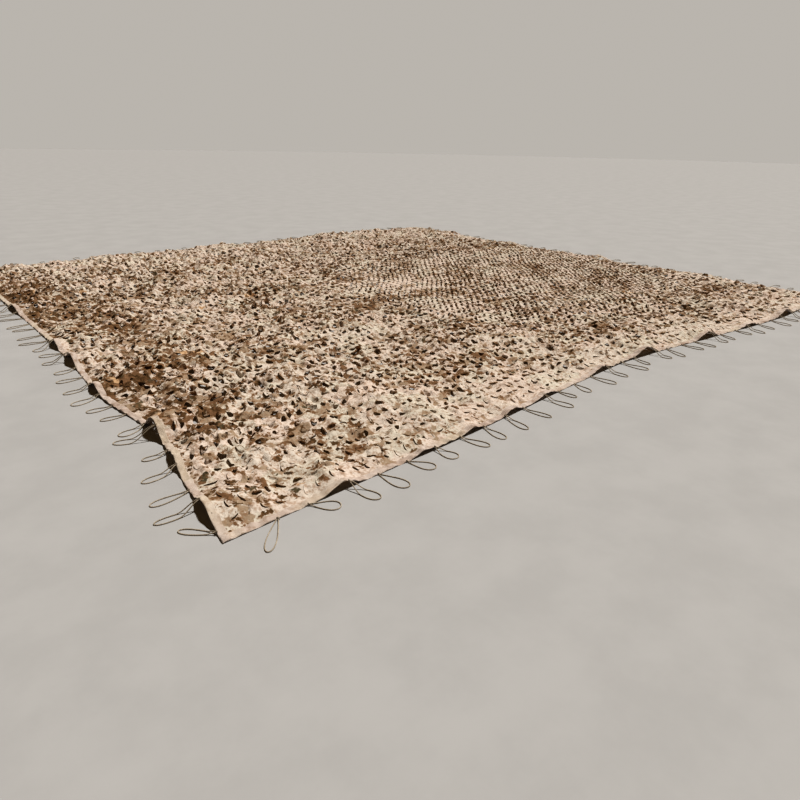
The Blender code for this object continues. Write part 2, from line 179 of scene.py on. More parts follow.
# -------- where the cloth lies
def read_edge(rows, along):
    """The offset at places on an edge, on a smooth curve through the table's rows."""
    last = len(rows) - 1
    at, offset = np.array(rows).T
    start = np.clip(np.searchsorted(at, along) - 1, 0, last - 1)
    before, end, after = np.maximum(start - 1, 0), start + 1, np.minimum(start + 2, last)
    span = at[end] - at[start]
    slope_in = (offset[end] - offset[before]) / (at[end] - at[before])
    slope_out = (offset[after] - offset[start]) / (at[after] - at[start])
    t = (along - at[start]) / span
    return (
        offset[start] * (1 + 2 * t) * (1 - t) ** 2
        + offset[end] * t * t * (3 - 2 * t)
        + slope_in * span * t * (1 - t) ** 2
        - slope_out * span * t * t * (1 - t)
    )


def edge_point(side, share):
    """Points on one edge of the cloth, at shares of that edge's length."""
    rows = EDGES[side]
    along = rows[0].along + np.asarray(share, float) * (rows[-1].along - rows[0].along)
    offset = read_edge(rows, along)
    return np.stack((along, offset) if side in ("front", "back") else (offset, along), -1)


def plan_point(u, v):
    """The cloth's rectangle, stretched between its four uneven edges."""
    u, v = np.broadcast_arrays(np.asarray(u, float), np.asarray(v, float))
    us, vs = u[..., None], v[..., None]
    corners = (
        (1 - us) * (1 - vs) * edge_point("front", 0)
        + us * (1 - vs) * edge_point("front", 1)
        + (1 - us) * vs * edge_point("back", 0)
        + us * vs * edge_point("back", 1)
    )
    return (
        (1 - vs) * edge_point("front", u)
        + vs * edge_point("back", u)
        + (1 - us) * edge_point("left", v)
        + us * edge_point("right", v)
        - corners
    )


def half_wave(distance, half_width):
    """1 on the line of a ridge, and 0 from its half width on."""
    turn = np.clip(np.abs(distance) / half_width, 0.0, 1.0)
    return (0.5 + 0.5 * np.cos(math.pi * turn)) ** FOLD_FOOT


def fold_height(fold, u, v, place):
    inwards = {"front": v, "back": 1 - v, "left": u, "right": 1 - u}[fold.side]
    across_size = NET_WIDTH if fold.side in ("front", "back") else NET_LENGTH
    along = place[..., 0] if fold.side in ("front", "back") else place[..., 1]
    fall = np.clip(1 - inwards * across_size / fold.reach, 0.0, 1.0) ** FOLD_DECAY
    return fold.rise * half_wave(along - fold.at, fold.half_width) * fall


def crease_height(crease, place):
    angle = math.radians(crease.angle_deg)
    dx, dy = place[..., 0] - crease.x, place[..., 1] - crease.y
    along = dx * math.cos(angle) + dy * math.sin(angle)
    across = dy * math.cos(angle) - dx * math.sin(angle)
    across = across + CREASE_SWAY * np.sin(CREASE_SWAYS * along)
    return crease.rise * half_wave(along, crease.half_length) * half_wave(across, crease.half_width)


def smooth_noise(place, pitch, layer):
    """Soft noise of one pitch, between -1 and 1. Each layer is a pattern of its own."""
    flat = place.reshape(-1, place.shape[-1])
    values = [noise.noise((x / pitch, y / pitch, layer)) for x, y in flat[:, :2].tolist()]
    return np.array(values).reshape(place.shape[:-1])


def ground_clearance(u, v):
    """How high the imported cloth's underside stands over the ground."""
    u, v = np.clip(u, 0.0, 1.0), np.clip(v, 0.0, 1.0)
    u, v = np.broadcast_arrays(u, v)
    place = plan_point(u, v)
    border = np.minimum(np.minimum(u, 1 - u), np.minimum(v, 1 - v))
    swell_share = EDGE_SWELL + (1 - EDGE_SWELL) * np.minimum(1.0, border / SWELL_BORDER)
    swell = smooth_noise(place, SWELL_PITCH, SWELL_LAYER)
    height = SWELL_RISE * swell_share * np.maximum(0.0, swell + SWELL_BASE)
    height = height + sum(crease_height(crease, place) for crease in CREASES)
    from_middle = np.hypot(place[..., 0] - CENTRE[0], place[..., 1] - CENTRE[1])
    height = height * np.clip(from_middle / REST_RADIUS - 1.0, 0.0, 1.0)
    folds = np.max([fold_height(fold, u, v, place) for fold in EDGE_FOLDS], axis=0)
    return height + folds


# -------- meshes
def new_object(name, data):
    thing = bpy.data.objects.new(name, data)
    bpy.context.scene.collection.objects.link(thing)
    return thing


def make_mesh(name, points, quads, material, ridge=None):
    """A smooth-shaded mesh of four-sided faces, with unused points left out. Edges between two
    points that ridge marks stay sharp."""
    used, index = np.unique(quads, return_inverse=True)
    mesh = bpy.data.meshes.new(name)
    places = (points[used] - CENTRE).tolist()
    mesh.from_pydata(places, [], index.reshape(-1, 4).tolist(), shade_flat=False)
    mesh.validate()
    if ridge is not None:
        ends = np.zeros(len(mesh.edges) * 2, np.int32)
        mesh.edges.foreach_get("vertices", ends)
        sharp = ridge[used][ends.reshape(-1, 2)].all(1)
        mesh.edges.foreach_set("use_edge_sharp", sharp)
    mesh.materials.append(material)
    return new_object(name, mesh)


def strip_quads(outer, inner):
    """Four-sided faces between two closed rings of point numbers, one ring in each row."""
    corners = (outer, np.roll(outer, -1, axis=1), np.roll(inner, -1, axis=1), inner)
    return np.stack(corners, -1).reshape(-1, 4)


def grid_quads(numbers):
    """Four-sided faces of a grid of point numbers, whose last two axes run across and along."""
    near, far = numbers[..., :-1, :], numbers[..., 1:, :]
    corners = (near[..., :-1], near[..., 1:], far[..., 1:], far[..., :-1])
    return np.stack(corners, -1).reshape(-1, 4)


def closed(numbers):
    """Rows of point numbers, each with its first number again at its end."""
    return np.concatenate((numbers, numbers[:, :1]), 1)


def waves(place, rows):
    """A sum of plain waves: each row of the table has a length, a heading and a height."""
    total = 0.0
    for number, (length, heading_deg, height) in enumerate(rows):
        heading = math.radians(heading_deg)
        run = place[..., 0] * math.cos(heading) + place[..., 1] * math.sin(heading)
        total = total + height * np.sin(2 * math.pi * run / length + WAVE_SHIFT * number)
    return total


def ramp(value, start, length):
    """0 up to the start, rising evenly to 1 at a length beyond it."""
    return np.clip((value - start) / length, 0.0, 1.0)


def flattened(z, bend, room):
    """Heights kept as they are up to the bend, and flattened out within the room over it."""
    return np.minimum(z, bend) + room * np.tanh(np.maximum(z - bend, 0.0) / room)


# -------- the incised cloth
# The cloth's small unevenness between its cuts: length, heading and height of each wave.
RELIEF = [
    (0.43, 20, 0.0035), (0.37, 98, 0.0030), (0.29, 145, 0.0026),
    (0.171, 62, 0.0020), (0.143, -25, 0.0020), (0.111, 118, 0.0016),
    (0.093, 15, 0.0020), (0.081, 84, 0.0020), (0.057, 130, 0.0013),
]
# How the rows of cuts wander sideways, and how much more they do where they are tousled.
WANDER_X = [(1.30, 70, 0.012), (0.62, 35, 0.006), (0.41, 110, 0.004)]
WANDER_Y = [(1.12, 10, 0.012), (0.55, 130, 0.006), (0.38, 60, 0.004)]
ROUGH_X = [(0.31, 95, 0.007), (0.23, 20, 0.005), (0.19, 140, 0.004)]
ROUGH_Y = [(0.29, 15, 0.007), (0.24, 75, 0.005), (0.20, 125, 0.004)]

# Stretches of the net that look different: their middle, and how far they reach.
Stretch = namedtuple("Stretch", "x y reach_x reach_y")
EVEN_STRETCH = Stretch(4.8, 2.5, 1.9, 1.8)
LOOSE_STRETCH = Stretch(0.60, 1.35, 0.70, 0.85)
PALE_STRETCH = Stretch(2.3, 1.0, 0.9, 0.6)
EVEN_FULLNESS = 1.6  # over 1: quite even well beyond its middle
RIDGE_RISE, RIDGE_BASE = 1.4, 0.25  # of the slanting ridges in the even stretch
TOUSLED = 1.3  # how strong the unevenness is where the rows are tousled

# A cut's half chord and depth, in shares of its cell: a base, and what is added for how open it
# is, for that and its place towards the far corner, for chance and for the even stretch.
CutSize = namedtuple("CutSize", "base opened far play even")
HALF_CHORD = CutSize(0.31, -0.06, 0.04, 0.03, 0.20)
CUT_DEPTH = CutSize(0.22, 0.20, 0.07, 0.04, -0.165)
SIZE_PLAY = 1.6  # how much their sizes vary where the rows are tousled
QUARTER_CHANCES = (0.12, 0.40, 0.34, 0.14)  # of a cell's quarter turns
QUARTER_LEAN_DEG, EVEN_LEAN_DEG = (0, 18, -24, 0), -45.0
BETWEEN = 0.52  # where the middle ring lies, from a cell's outline to its cut
RING = 12  # points round a cell and round its cut
# The cell's outline in shares of its sides, from its first corner round to it again.
CELL_RING = [(0, 0), (1, 0), (2, 0), (3, 0), (3, 1), (3, 2)]
CELL_RING += [(3, 3), (2, 3), (1, 3), (0, 3), (0, 2), (0, 1)]

# Rows across a leaf: share of its length, its half width as a share of its root's, and the
# share of its bend that it has there.
LeafRow = namedtuple("LeafRow", "out width bend")
LEAF_ROWS = [LeafRow(0.36, 0.98, 0.0), LeafRow(0.72, 0.80, 0.55), LeafRow(1.0, 0.40, 1.0)]
ACROSS = (-1.0, -1 / 3, 1 / 3, 1.0)  # a leaf's four points across

# The kinds of leaf: in degrees, the ranges of the angle at the root and of the bend up to the tip,
# which for some is a share of the angle, downwards. The sign turns both.
LeafKind = namedtuple("LeafKind", "root bend sign by_share")
LEAF_KINDS = table(
    LeafKind,
    ((42, 80), (0.2, 0.8), 1, True),  # of a shut cut
    ((34, 74), (-20, 25), -1, False),  # hanging down in the cut
    ((28, 66), (0.9, 1.7), 1, True),  # rising and bending down like an awning
    ((125, 160), (-30, 40), 1, False),  # folded back over the cloth
    ((15, 42), (10, 70), 1, False),  # standing upright
)
SUNK_ROOT, SUNK_BEND = -12.0, 4.0  # a few leaves of shut cuts sink
SHUT_BELOW = 0.34  # how open a shut cut is at most
RIDGE_ABOVE_DEG = 40  # steeper leaves keep a sharp edge at the lip


def kept_low(z):
    """Heights kept over the ground, and flattened out towards the net's own height."""
    return np.maximum(flattened(z, BEND_HEIGHT, TOP_HEIGHT - BEND_HEIGHT), LEAST_HEIGHT)


class Field:
    """The lattice of cuts: a fine grid of points with three steps to each cell, and round it one
    more row that lies hidden in the tape."""

    def __init__(self, chance):
        self.across = round((NET_LENGTH - 2 * FIELD_DEPTH) / CUT_PITCH[0])
        self.along = round((NET_WIDTH - 2 * FIELD_DEPTH) / CUT_PITCH[1])
        u = self.lines(self.across, NET_LENGTH)[:, None]
        v = self.lines(self.along, NET_WIDTH)[None, :]
        u, v = np.broadcast_arrays(u, v)
        place = plan_point(u, v)
        depth_x = np.minimum(u, 1 - u) * NET_LENGTH
        depth_y = np.minimum(v, 1 - v) * NET_WIDTH
        depth = np.minimum(depth_x, depth_y)
        fade = ramp(depth, SEEN_TAPE, LIFT_REACH)
        fade = fade * fade * (3 - 2 * fade)
        wander = np.stack((waves(place, WANDER_X), waves(place, WANDER_Y)), -1)
        rough = np.stack((waves(place, ROUGH_X), waves(place, ROUGH_Y)), -1)
        wander = wander + rough * (TOUSLED - evenness(place))[..., None]
        place = place + wander * fade[..., None]
        # The cloth bulges between the cuts, most where they stand open.
        opened = openness(place)
        turn_i = 2 * math.pi * (np.arange(len(u)) - 1)[:, None] / 3
        turn_j = 2 * math.pi * (np.arange(u.shape[1]) - 1)[None, :] / 3
        even = evenness(place)
        # In the even stretch the cloth stands in ridges between slanting rows of cuts.
        arch = (np.cos(turn_i) + np.cos(turn_j)) * (1 - 0.8 * even)
        arch = arch + RIDGE_RISE * even * (RIDGE_BASE - np.cos(turn_i - turn_j))
        tousled = (TOUSLED - 0.9 * even) * (1 + 0.4 * ramp(place[..., 1], 2.5, 2.0))
        relief = (0.9 + 0.7 * opened) * tousled * waves(place, RELIEF)
        rise = LIFT * (1 + 0.4 * looseness(place)) + relief
        rise = rise + ARCH_RISE * (0.4 + even) * opened * arch
        crumple = CRUMPLE * (0.5 + opened) * (1 - CALMER * even)
        rise = rise + chance.normal(0.0, 1.0, rise.shape) * crumple
        height = ground_clearance(u, v) + CLOTH_SEAT + fade * rise
        # Each point's x and y, its height, how free it is to move, and how open the cuts are.
        self.values = np.concatenate((place, np.stack((height, fade, opened), -1)), -1)

    @staticmethod
    def lines(cells, size):
        inner = np.linspace(FIELD_DEPTH / size, 1 - FIELD_DEPTH / size, 3 * cells + 1)
        return np.concatenate(([HIDDEN_DEPTH / size], inner, [1 - HIDDEN_DEPTH / size]))

    def sample(self, i, j):
        """The values at fractions of the fine grid."""
        i0, j0 = np.floor(i).astype(int), np.floor(j).astype(int)
        i0 = np.clip(i0, 0, self.values.shape[0] - 2)
        j0 = np.clip(j0, 0, self.values.shape[1] - 2)
        a, b = (i - i0)[..., None], (j - j0)[..., None]
        near = self.values[i0, j0] * (1 - a) + self.values[i0 + 1, j0] * a
        far = self.values[i0, j0 + 1] * (1 - a) + self.values[i0 + 1, j0 + 1] * a
        return near * (1 - b) + far * b

    def spots(self, values, extra=0.0):
        """Points of the cloth, raised by something extra where it is free to move."""
        z = kept_low(values[..., 2] + values[..., 3] * extra)
        return np.concatenate((values[..., :2], z[..., None]), -1)


def off_middle(place, stretch):
    """Squared distances from a stretch's middle along x and y, as shares of its reach."""
    x, y = place[..., 0], place[..., 1]
    return ((x - stretch.x) / stretch.reach_x) ** 2, ((y - stretch.y) / stretch.reach_y) ** 2


def within(place, stretch):
    """How much a place belongs to a stretch, from 0 to 1."""
    off_x, off_y = off_middle(place, stretch)
    return np.exp(-off_x - off_y)


def evenness(place):
    """How regular the rows look, from 0 to 1: they are tousled but for one stretch in the right
    half of the net."""
    off_x, off_y = off_middle(place, EVEN_STRETCH)
    return np.clip(EVEN_FULLNESS - off_x - off_y, 0.0, 1.0)


def nearness(place):
    """How much a place belongs to the strip along the front, from 0 to 1."""
    x, y = place[..., 0], place[..., 1]
    reach = 0.24 + 0.34 * np.clip(2.6 - x, 0.0, 1.0)  # wider at the strip's left end
    return np.exp(-(((y - 0.06) / reach) ** 2)) * np.clip(6.6 - x, 0.2, 1.0)


def looseness(place):
    """How much a place belongs to the loose cloth by the left edge, from 0 to 1."""
    return within(place, LOOSE_STRETCH)


def openness(place):
    """How wide the cuts stand open, from 0 to 1: least along the front, most by the left edge and
    towards the right and the back."""
    x, y = place[..., 0], place[..., 1]
    broad, small = smooth_noise(place, 0.75, 3.5), smooth_noise(place, 0.21, 7.5)
    wide = 0.84 + 0.14 * ramp(x, 3.6, 1.5) + 0.40 * broad
    wide = wide + (0.80 - 0.40 * evenness(place)) * small
    wide = wide + 0.10 * ramp(y, 3.0, 1.5)
    wide = wide - 0.56 * nearness(place) + 0.34 * looseness(place)
    return np.clip(wide - 0.12 * within(place, PALE_STRETCH), 0.0, 1.0)


def leaf_points(root, forward, sideways, opened, even, chance):
    """Points of the leaves: rows of four from just past the root to the tip. Root, forward and
    sideways are in the fine grid's units; the last value of each point is a height in metres."""
    count = len(opened)
    kind = chance.random(count)
    shut = opened < SHUT_BELOW
    arched = ~shut & (kind < 0.32 - 0.22 * even)
    hang = ~shut & ~arched & (kind < 0.80 + 0.08 * even)
    back = ~shut & (kind > 0.90)
    upright = ~shut & ~arched & ~hang & ~back
    sunk = shut & (chance.random(count) >= 0.94)
    first, bend = np.zeros(count), np.zeros(count)
    for own, angles in zip((shut, hang, arched, back, upright), LEAF_KINDS):
        root_angle = angles.sign * chance.uniform(*angles.root, count)
        bent = chance.uniform(*angles.bend, count)
        bent = -root_angle * bent if angles.by_share else angles.sign * bent
        first, bend = np.where(own, root_angle, first), np.where(own, bent, bend)
    first, bend = np.where(sunk, SUNK_ROOT, first), np.where(sunk, SUNK_BEND, bend)
    narrow = np.where(upright, chance.uniform(0.8, 1.0, count), 1.0)
    narrow = np.where(shut, chance.uniform(0.88, 1.0, count), narrow)
    length = np.linalg.norm(forward * CUT_PITCH, axis=1) / 3
    along, up, rows, previous = np.zeros(count), np.zeros(count), [], 0.0
    for row in LEAF_ROWS:
        angle = np.radians(first + bend * row.bend)
        step = row.out - previous
        along, up = along + step * np.cos(angle), up + step * np.sin(angle)
        previous = row.out
        for column in ACROSS:
            spot = root + forward * along[:, None]
            spot = spot + sideways * (column * row.width * narrow)[:, None]
            gutter = np.where(upright, 0.20, 0.08) * (abs(column) - 0.33)
            rows.append(np.concatenate((spot, (length * (up + gutter * row.out))[:, None]), 1))
    return np.stack(rows, 1), np.abs(first) > RIDGE_ABOVE_DEG


def cut_size(size, opened, far, play, even):
    """One measure of each cut, from its row of the table."""
    total = size.base + size.opened * opened + size.far * far * opened
    return total + size.play * play + size.even * even


def build_cloth(material):
    """The cloth in a few panels, each a lattice of cells whose leaves are cut and curled."""
    chance = np.random.default_rng(DETAIL_SEED)
    field = Field(chance)
    lattice = field.spots(field.values)
    size_i, size_j = lattice.shape[:2]
    columns, rows = np.meshgrid(np.arange(field.across), np.arange(field.along), indexing="ij")
    columns, rows = columns.ravel(), rows.ravel()
    count = len(columns)
    corner = np.stack((1 + 3 * columns, 1 + 3 * rows), 1).astype(float)
    middle = field.sample(corner[:, 0] + 1.5, corner[:, 1] + 1.5)
    even = evenness(middle)
    opened = middle[:, 4] + chance.normal(0.0, 0.15, count) * (1 - 0.7 * even)
    opened = np.clip(opened, 0.0, 1.0)

    # The cut's shape in its own cell, before the cell's quarter turn.
    play = chance.uniform(-1, 1, (2, count)) * (SIZE_PLAY - even)
    far = ramp(middle[:, 0] + middle[:, 1], 3.0, 3.0)
    half_chord = cut_size(HALF_CHORD, opened, far, play[0], even)
    depth = cut_size(CUT_DEPTH, opened, far, play[1], even)
    depth = depth * (1 - 0.38 * nearness(middle))  # smaller along the front
    quarter = chance.choice(4, count, p=QUARTER_CHANCES)
    quarter = np.where(chance.random(count) < even, 1, quarter)
    lean = np.where(even > 0.5, EVEN_LEAN_DEG, np.array(QUARTER_LEAN_DEG)[quarter])
    turn = np.radians(lean + chance.normal(0, 18 - 14 * even))
    turn = turn + quarter * math.pi / 2
    shift = chance.uniform(-1, 1, (count, 2)) * (0.07 - 0.05 * even)[:, None]

    def in_cell(across, out):
        """A point of the cut, as shares of its cell, turned and shifted, in fine grid units."""
        x, y = across, out - depth / 2
        s = 0.5 + x * np.cos(turn) - y * np.sin(turn) + shift[:, 0]
        t = 0.5 + x * np.sin(turn) + y * np.cos(turn) + shift[:, 1]
        return corner + 3 * np.stack((s, t), 1)

    lip = [in_cell(half_chord * share, 0 * depth) for share in ACROSS]
    for step in range(1, 9):
        angle = math.pi * step / 9
        bulge = 1.0 + 0.10 * math.sin(angle)
        lip.append(in_cell(half_chord * bulge * math.cos(angle), depth * math.sin(angle)))
    lip = np.stack(lip, 1)

    outline = np.array(CELL_RING, float)[None] + corner[:, None]
    first_corner = (np.arange(RING)[None] + 3 * quarter[:, None]) % RING
    outline = np.take_along_axis(outline, first_corner[..., None], 1)
    between = (1 - BETWEEN) * outline + BETWEEN * lip

    # The cloth beside a cut twists, so that one lip rises and the other sinks.
    heading = np.radians(chance.normal(22 - 62 * even, 80 - 68 * even))
    slope = 0.0025 + 0.0065 * opened + 0.0045 * even + 0.0040 * looseness(middle)
    slope = slope * chance.uniform(0.4 + 0.4 * even, 1.3, count)
    from_middle = lip - lip.mean(1, keepdims=True)
    from_middle = from_middle / np.linalg.norm(from_middle, axis=2, keepdims=True)
    way = np.stack((np.cos(heading), np.sin(heading)), 1)[:, None] * from_middle
    twist = slope[:, None] * (way[..., 0] + way[..., 1])
    between = field.sample(between[..., 0], between[..., 1])
    crumple = CRUMPLE * (1 - CALMER * even)[:, None] * chance.normal(0, 1, twist.shape)
    ring_points = field.spots(between, 0.5 * twist + crumple)
    lip_points = field.spots(field.sample(lip[..., 0], lip[..., 1]), twist)

    root = in_cell(0 * depth, 0 * depth)
    forward = in_cell(0 * depth, depth) - root
    sideways = in_cell(half_chord, 0 * depth) - root
    leaf, ridged = leaf_points(root, forward, sideways, opened, even, chance)
    flat = field.sample(leaf[..., 0], leaf[..., 1])
    flat[..., 3] = np.maximum(flat[..., 3], 0.25)
    leaves = field.spots(flat, leaf[..., 2] + twist[:, :4].mean(1)[:, None])

    groups = (lattice, ring_points, lip_points, leaves)
    points = np.concatenate([group.reshape(-1, 3) for group in groups])
    outline_numbers = (outline[..., 0] * size_j + outline[..., 1]).round().astype(int)
    ring_numbers = size_i * size_j + np.arange(count * RING).reshape(count, RING)
    lip_numbers = ring_numbers + count * RING
    leaf_numbers = np.arange(len(points) - leaf[..., 0].size, len(points))
    leaf_numbers = leaf_numbers.reshape(count, -1)
    leaf_grid = np.concatenate((lip_numbers[:, :4], leaf_numbers), 1).reshape(-1, 4, 4)
    ridge = np.zeros(len(points), bool)
    ridge[lip_numbers[ridged][:, :4].ravel()] = True

    border = np.arange(size_i * size_j).reshape(size_i, size_j)
    panels = []
    bounds = np.linspace(0, field.across, PANELS + 1).round().astype(int)
    for number, (start, end) in enumerate(zip(bounds, bounds[1:])):
        cells = (columns >= start) & (columns < end)
        quads = [
            strip_quads(outline_numbers[cells], ring_numbers[cells]),
            strip_quads(ring_numbers[cells], lip_numbers[cells]),
            grid_quads(leaf_grid[cells]),
        ]
        low = 0 if number == 0 else 1 + 3 * start
        high = size_i - 1 if number == PANELS - 1 else 1 + 3 * end
        for edge in (border[low : high + 1, :2], border[low : high + 1, -2:]):
            quads.append(grid_quads(edge.T))
        if number == 0:
            quads.append(grid_quads(border[:2, 1:-1].T))
        if number == PANELS - 1:
            quads.append(grid_quads(border[-2:, 1:-1].T))
        panel = make_mesh(f"net_panel_{number + 1}", points, np.concatenate(quads), material, ridge)
        width = (end - start) * CUT_PITCH[0]
        if number in (0, PANELS - 1):
            width += FIELD_DEPTH - HIDDEN_DEPTH
        panels.append((panel, width))
    return panels


# -------- the binding tape
# The tape's section, from its inner lower edge out round the nose and back over the cloth. Depth
# is measured in from the cloth's edge, rise from the tape's underside.
SectionPoint = namedtuple("SectionPoint", "depth rise")
TAPE_TOP = 0.0068
TAPE_SECTION = (
    [SectionPoint(depth, 0.0) for depth in (0.031, 0.026, 0.019, 0.011, 0.003)]
    + table(SectionPoint, (-0.0045, 0.0008), (-0.0072, 0.0022), (-0.0078, 0.0038))
    + table(SectionPoint, (-0.0066, 0.0055), (-0.0025, 0.0066))
    + [SectionPoint(depth, TAPE_TOP) for depth in (0.004, 0.010, 0.017, 0.024, 0.028, 0.0305)]
    + [SectionPoint(depth, TAPE_TOP - 0.0011) for depth in (0.031, 0.024, 0.015, 0.005)]
    + [SectionPoint(depth, 0.0011) for depth in (0.005, 0.015, 0.024)]
)
STATION_STEP = 0.013
MITRE_REACH = 0.16  # how far from a corner the tape's stations turn into the mitre
MITRE_GAP = 0.0006
# Small puckers along a sewn tape: length, heading and height of each wave.
PUCKERS = [
    (0.061, 20, 0.0026), (0.083, -35, 0.0025), (0.043, 50, 0.0015),
    (0.052, -15, 0.0017), (0.21, 0, 0.0026),
]
CREEP = [(0.37, 0, 0.07), (0.17, 0, 0.06), (0.077, 0, 0.05)]  # how the tape's width varies
SEAM_DEPTH, SEAM_REACH, SEAM_PUCKER = 0.028, 0.013, 0.35  # the puckers are least at the seam
TAPE_BEND, TAPE_ROOM = 0.082, 0.010  # heights over the first flatten out within the second
TAPE_CEILING = 0.098  # that no pucker passes


def side_size(side):
    return NET_LENGTH if side in ("front", "back") else NET_WIDTH


def net_shares(side, along, depth):
    """The shares u, v of a spot that lies along one side at a depth in from the cloth's edge."""
    if side in ("front", "back"):
        u, v = along / NET_LENGTH, depth / NET_WIDTH
        return (u, v) if side == "front" else (u, 1 - v)
    u, v = depth / NET_LENGTH, along / NET_WIDTH
    return (u, v) if side == "left" else (1 - u, v)


def tape_point(side, along, depth, rise):
    """A spot on the tape, on the cloth's edge strip, with the puckers of the sewn tape."""
    run = np.stack(np.broadcast_arrays(along, depth), -1)
    depth = depth * (1 + waves(run * (1.0, 0.0), CREEP))
    u, v = net_shares(side, along, depth)
    place = plan_point(u, v)
    pucker = waves(run, PUCKERS) * np.clip(rise / TAPE_TOP, 0.0, 1.0)
    from_seam = ramp(np.abs(depth - SEAM_DEPTH), 0.0, SEAM_REACH)
    pucker = pucker * (SEAM_PUCKER + (1 - SEAM_PUCKER) * from_seam)
    z = flattened(ground_clearance(u, v), TAPE_BEND, TAPE_ROOM) + rise
    z = z + np.minimum(pucker, np.maximum(TAPE_CEILING - z, 0.0))
    return np.concatenate((place, np.maximum(z, 0.0)[..., None]), -1)


def build_binding(side, material):
    """A folded tape with mitred ends, as one sheet with both its faces."""
    size = side_size(side)
    stations = np.linspace(0.0, size, round(size / STATION_STEP) + 1)[:, None]
    depth = np.array([spot.depth for spot in TAPE_SECTION])[None]
    rise = np.array([spot.rise for spot in TAPE_SECTION])[None]
    from_start = np.clip(1 - stations / MITRE_REACH, 0.0, 1.0)
    from_end = np.clip(1 - (size - stations) / MITRE_REACH, 0.0, 1.0)
    along = stations + (depth + MITRE_GAP) * (from_start - from_end)
    depth, rise = np.broadcast_arrays(depth, along)[0], np.broadcast_arrays(rise, along)[0]
    points = tape_point(side, along, depth, rise)
    numbers = np.arange(along.size).reshape(along.shape)
    quads = grid_quads(closed(numbers))
    if side in ("front", "right"):
        quads = quads[:, ::-1]
    return make_mesh(f"binding_tape_{side}", points.reshape(-1, 3), quads, material)


# -------- tie loops
CORD_RADIUS = 0.0026
CORD_SIDES = 8
LOOP_POINTS = 34
ROOT_DEPTH, ROOT_RISE = -0.004, 0.0035  # where on the tape's section a loop comes out
ROOT_CEILING = 0.092  # of a loop's root over the ground
ROOT_STEP = 0.01  # from there, to read the tape's heading
LOOP_OPENING = 0.06  # share of its turn left open at its root
LEG_SPREAD = 0.008  # of its two legs, to either side
HITCH_POINTS, HITCH_ARC_DEG = 9, (115, -60)
HITCH_OUT, HITCH_UP = (0.0065, 0.002), (0.0060, 0.0005)  # radius and shift
HITCH_SLANT = 0.004


def grid_lines(size, cells):
    """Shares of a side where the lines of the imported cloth's grid lie."""
    tape_share = TAPE_WIDTH / size
    widths = [1.0 + CELL_WIDENING * cell / (cells - 1) for cell in range(cells)]
    unit = (1.0 - 2 * tape_share) / sum(widths)
    lines = [0.0, tape_share]
    for width in widths:
        lines.append(lines[-1] + width * unit)
    lines[-1] = 1.0 - tape_share
    return lines + [1.0]


def outer_line(side):
    """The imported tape's outer corners along one side, and where they lie along that side."""
    cells = CELLS_ALONG_X if side in ("front", "back") else CELLS_ALONG_Y
    shares = np.array(grid_lines(side_size(side), cells))
    if side in ("left", "right"):
        shares = shares[1:-1]
    along = shares * side_size(side)
    u, v = net_shares(side, along, 0.0 * along)
    edge = np.concatenate((plan_point(u, v), ground_clearance(u, v)[:, None]), 1)
    if side in ("left", "right"):
        for end, inner in ((0, 1), (-1, -2)):
            step = edge[inner] - edge[end]
            edge[end] += CORNER_GAP * step / np.linalg.norm(step)
    run = np.gradient(edge[:, :2], axis=0)
    run[0], run[-1] = edge[1, :2] - edge[0, :2], edge[-1, :2] - edge[-2, :2]
    outwards = np.stack((run[:, 1], -run[:, 0]), 1)
    outwards /= np.linalg.norm(outwards, axis=1)[:, None]
    if side in ("back", "left"):
        outwards = -outwards
    edge[:, :2] += TAPE_NOSE * outwards
    return edge, along


def loops_of(side, length, chance):
    """The loops along one tape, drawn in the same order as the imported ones."""
    loops = list(FIRST_LOOPS.get(side, []))
    at = loops[-1].at + LOOP_PITCH if loops else LOOP_PITCH / 2
    while at < length - LOOP_PITCH / 2:
        shifted = at + chance.uniform(-PITCH_PLAY, PITCH_PLAY)
        reach, skew = chance.uniform(*REACH_RANGE), chance.uniform(*SKEW_RANGE)
        loops.append(Loop(shifted, reach, skew, chance.uniform(*WIDTH_RANGE)))
        at += LOOP_PITCH
    return loops


def sweep(path):
    """Points and faces of a round cord along a path."""
    tangent = np.gradient(path, axis=0)
    tangent /= np.maximum(np.linalg.norm(tangent, axis=1), 1e-9)[:, None]
    sideways = np.cross(tangent, (0.0, 0.0, 1.0))
    sideways /= np.maximum(np.linalg.norm(sideways, axis=1), 1e-9)[:, None]
    upwards = np.cross(sideways, tangent)
    angle = 2 * math.pi * np.arange(CORD_SIDES) / CORD_SIDES
    points = (
        path[:, None]
        + CORD_RADIUS * np.cos(angle)[None, :, None] * sideways[:, None]
        + CORD_RADIUS * np.sin(angle)[None, :, None] * upwards[:, None]
    )
    numbers = np.arange(len(path) * CORD_SIDES).reshape(len(path), CORD_SIDES)
    return points.reshape(-1, 3), grid_quads(closed(numbers))


